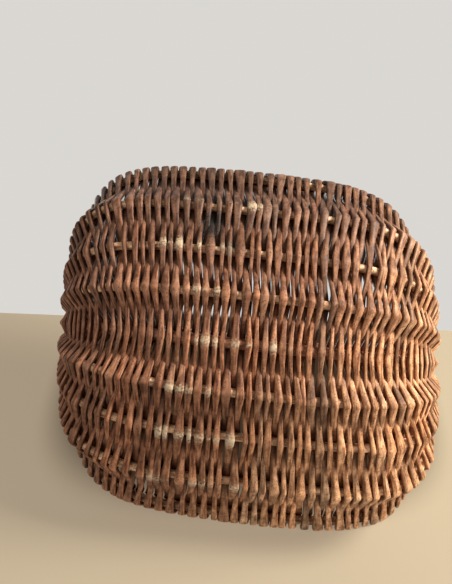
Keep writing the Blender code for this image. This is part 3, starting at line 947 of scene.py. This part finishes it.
def ear_lashings(lift):
    """Wind a rod crosswise over both hoops at each ear."""
    material = willow("ear_willow")
    lines = [bar_line(0), bar_line(-RIM_INDEX), handle_line(), bar_line(RIM_INDEX)]
    radii = (HOOP_RADIUS, RIM_RADIUS, HOOP_RADIUS, RIM_RADIUS)
    for name, side in (("left", -1), ("right", 1)):
        arms = [line if side < 0 else line[::-1] for line in lines]
        outward = unit(np.array([side, SKEW * side, 0.0]))
        made = []
        for ring in range(LASHING_RINGS):
            for number, (arm, radius) in enumerate(zip(arms, radii)):
                start = LASHING_START + LASHING_PITCH * (ring + number / len(arms))
                after = arms[(number + 1) % len(arms)]
                made.extend(wrap(arm, after, radius, start, outward))
        centres, normals = (np.array(points) for points in zip(*made))
        count = len(centres)
        radius = LASHING_RADIUS * (1.0 + smooth_noise(count, *LASHING_BURL))
        shade = np.clip(1.0 + smooth_noise(count, *LASHING_SHADE), *LASHING_SHADE_LIMITS)
        width, height = (radius * share for share in LASHING_OVAL)
        piece = sweep(f"{name}_ear_lashing", centres + lift, normals, width, height,
                      place_colour(centres) * shade[:, None], sides=LASHING_SIDES)
        finish_piece(piece, material, "ear_willow", f"ear_lashing_{name}")


def add_camera(lift):
    """Place the camera below the basket, where it sees what the photograph shows."""
    data = bpy.data.cameras.new("camera")
    data.sensor_width = SENSOR
    data.lens = FOCAL_PIXELS / IMAGE_HEIGHT * SENSOR
    data.clip_start = 0.01
    camera = bpy.data.objects.new("camera", data)
    bpy.context.scene.collection.objects.link(camera)
    turn_x, turn_y, turn_z = CAMERA_TURN
    seen = (Matrix.Rotation(turn_z, 3, "Z") @ Matrix.Rotation(turn_y, 3, "Y")
            @ Matrix.Rotation(turn_x, 3, "X"))
    over = Matrix.Diagonal((1.0, -1.0, -1.0))
    turned = over @ seen.transposed()
    where = Vector(lift) - turned @ Vector(KEEL_FROM_CAMERA)
    camera.matrix_world = Matrix.Translation(where) @ turned.to_4x4()
    bpy.context.scene.camera = camera


def stage_material(name, shade_middle):
    """Return a pale material that only the camera sees, and only from its front."""
    material = bpy.data.materials.new(name)
    graph = Graph(material)
    graph.nodes.clear()
    paint = graph.add("ShaderNodeBsdfDiffuse", {"Color": opaque(FLOOR_COLOUR)}).outputs["BSDF"]
    glow = graph.glow(FLOOR_GLOW)
    shown = graph.add("ShaderNodeAddShader", {0: paint, 1: glow}).outputs["Shader"]
    # A dark patch of painted shade, where the tipped basket's shade falls on this floor.
    if shade_middle:
        place = graph.add("ShaderNodeTexCoord").outputs["Object"]
        outside = graph.oval(place, shade_middle, *FLOOR_SHADE[1:])
        shown = graph.mix_shaders(outside, graph.glow(FLOOR_SHADE_COLOUR), shown)
    clear = graph.add("ShaderNodeBsdfTransparent").outputs["BSDF"]
    behind = graph.add("ShaderNodeNewGeometry").outputs["Backfacing"]
    front = graph.calculate("SUBTRACT", graph.seen_directly(), behind, use_clamp=True)
    graph.add("ShaderNodeOutputMaterial", {"Surface": graph.mix_shaders(front, clear, shown)})
    return material


def stage_plane(name, place, turn, shade_middle=None):
    """Add a plane of the stage."""
    half = STAGE_SIZE / 2
    data = bpy.data.meshes.new(name)
    data.from_pydata([(-half, -half, 0), (half, -half, 0), (half, half, 0), (-half, half, 0)], [],
                     [(0, 1, 2, 3)])
    plane = bpy.data.objects.new(name, data)
    plane.location = place
    plane.rotation_euler = Euler(turn)
    bpy.context.scene.collection.objects.link(plane)
    data.materials.append(stage_material(name, shade_middle))


def add_stage():
    """Add the floor under the basket and the floor that it is tipped onto."""
    stage_plane("floor", (0, 0, FLOOR_HEIGHT), (0, 0, 0))
    rise = FAR_LINE[1] - REST_LINE[1]
    lean = math.atan2(REST_LINE[0] - FAR_LINE[0], rise)
    half = STAGE_SIZE / 2
    middle = (0.0, FAR_LINE[0] + half * math.sin(lean), FAR_LINE[1] - half * math.cos(lean))
    shade_middle = (FLOOR_SHADE[0][0], half - FLOOR_SHADE[0][1])
    stage_plane("side_floor", middle, (math.pi / 2 + lean, 0, 0), shade_middle)


def wall_brightness(graph):
    """Return the wall's brightness by direction: painted shade behind the tipped basket."""
    heading = graph.add("ShaderNodeTexCoord").outputs["Generated"]
    parts = graph.add("ShaderNodeSeparateXYZ", {"Vector": heading}).outputs
    flat = {axis: graph.calculate("DIVIDE", parts[axis], parts["Z"]) for axis in "XY"}
    flat = graph.add("ShaderNodeCombineXYZ", flat).outputs["Vector"]
    dark = graph.step(parts["Z"], UPWARD)
    for spot, levels in ((WALL_SHADE, (1.0, 0.0)), (WALL_OPENING, (0.0, 1.0))):
        outside = graph.oval(flat, *spot)
        dark = graph.calculate("MULTIPLY", dark, graph.step(outside, (0.0, 1.0), levels))
    return graph.step(dark, (0.0, 1.0), (1.0, WALL_SHADE_LEVEL))


def add_world():
    """Add soft light from all round, and the wall that the camera sees instead of it."""
    world = bpy.data.worlds.new("studio")
    bpy.context.scene.world = world
    graph = Graph(world)
    graph.nodes.clear()
    soft = graph.add("ShaderNodeBackground", {"Strength": WORLD_STRENGTH})
    wall = graph.add("ShaderNodeBackground", {"Color": opaque(WALL_COLOUR),
                                              "Strength": wall_brightness(graph)})
    shown = graph.mix_shaders(graph.seen_directly(), soft.outputs["Background"],
                              wall.outputs["Background"])
    graph.add("ShaderNodeOutputWorld", {"Surface": shown})


def add_lamps():
    """Add the soft lamps, which all face the basket."""
    for name, (place, size, power, colour) in LAMPS.items():
        data = bpy.data.lights.new(name, "AREA")
        data.size = size
        data.energy = power
        data.color = colour
        lamp = bpy.data.objects.new(name, data)
        lamp.location = place
        target = Vector((0.0, 0.0, EAR_RISE / 2))
        lamp.rotation_euler = (target - Vector(place)).to_track_quat("-Z", "Y").to_euler()
        bpy.context.scene.collection.objects.link(lamp)


def main():
    """Dress the basket."""
    bpy.context.scene.view_settings.view_transform = "Standard"
    weave = Weave()
    add_camera(weave.lift)
    woven_rods(weave)
    bars(weave.lift)
    ear_lashings(weave.lift)
    add_stage()
    add_lamps()
    add_world()


main()
